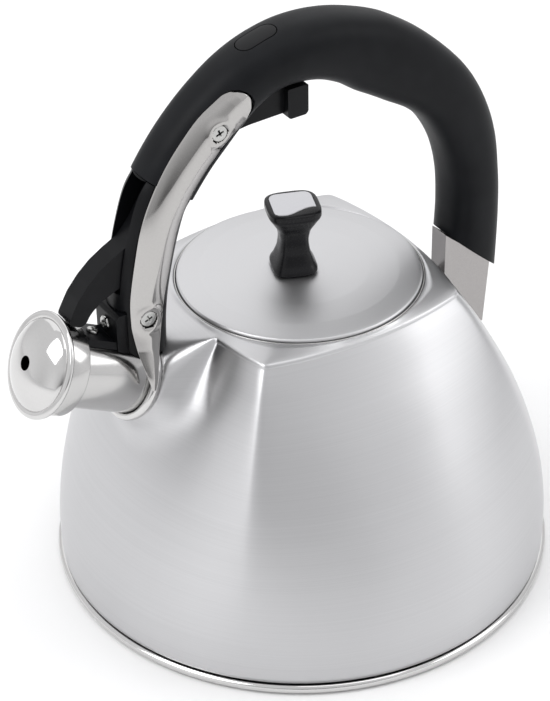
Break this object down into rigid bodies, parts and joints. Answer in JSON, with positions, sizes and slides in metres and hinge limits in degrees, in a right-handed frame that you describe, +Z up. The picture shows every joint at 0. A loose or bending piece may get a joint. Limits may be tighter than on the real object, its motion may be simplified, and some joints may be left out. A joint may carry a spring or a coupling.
{
  "type": "stovetop whistling kettle",
  "caption": "Stainless stovetop whistling kettle with a squared, bulging body, arched black handle, thumb button and lever that swing the whistle cap off the spout, and a lift-off lid.",
  "frame": {"origin": "centre of the round base, on the surface the kettle stands on", "axes": "+Z up, -X out along the spout, +X towards the rear bracket, +Y across the kettle, away from the side with the near arm"},
  "size_m": [0.243, 0.22, 0.2559],
  "materials": {
    "body_steel": "satin stainless steel with fine horizontal brushing",
    "lid_steel": "fine satin stainless steel with a polished rim",
    "satin_steel": "smooth satin stainless steel",
    "polished_steel": "mirror-polished stainless steel",
    "screw_steel": "plain machined steel",
    "core_aluminium": "plain rolled aluminium",
    "grip_black": "soft-touch near-black plastic with a slight sheen",
    "hard_black": "satin hard black plastic",
    "seal_silicone": "matt grey silicone"
  },
  "bodies": {
    "kettle": {"body_shell": "body_steel", "base_pan": "polished_steel", "base_core": "core_aluminium", "base_capsule": "body_steel", "filler_neck": "satin_steel", "spout_tube": "satin_steel", "spout_collar": "polished_steel", "side_arm_near": "polished_steel", "side_arm_far": "polished_steel", "arm_screw_upper_near": "screw_steel", "arm_screw_upper_far": "screw_steel", "arm_screw_lower_near": "screw_steel", "arm_screw_lower_far": "screw_steel", "pivot_barrel": "screw_steel", "lower_barrel": "screw_steel", "handle_grip": "grip_black", "front_leg": "hard_black", "spout_saddle": "hard_black", "leg_screw": "screw_steel", "saddle_screw": "screw_steel", "lever_spring": "screw_steel", "rear_bracket": "polished_steel", "rear_screw": "screw_steel"},
    "lid": {"lid_plate": "lid_steel", "lid_skirt": "satin_steel", "lid_knob": "hard_black", "knob_inlay": "satin_steel", "knob_washer": "screw_steel", "knob_screw": "screw_steel"},
    "whistle": {"whistle_lever": "hard_black", "cap_shell": "polished_steel", "cap_skirt": "satin_steel", "whistle_disc_front": "satin_steel", "whistle_disc_back": "satin_steel", "mouth_seal": "seal_silicone", "cap_rivet": "screw_steel"},
    "button": {"thumb_button": "grip_black"}
  },
  "joints": [
    {"name": "lid_lift", "type": "slide", "parent": "kettle", "child": "lid", "axis": [0, 0, 1], "range_m": [0, 0.035]},
    {"name": "whistle_swing", "type": "hinge", "parent": "kettle", "child": "whistle", "pos_m": [-0.044, 0, 0.224], "axis": [0, 1, 0], "range_deg": [0, 10], "stiffness_Nm_per_rad": 0.6, "springref_deg": -14.32},
    {"name": "button_press", "type": "slide", "parent": "kettle", "child": "button", "axis": [0.2924, 0, -0.9563], "range_m": [0, 0.0052]}
  ],
  "couplings": [
    {"joint": "button_press", "follows": "whistle_swing", "m_per_rad": 0.0297}
  ]
}
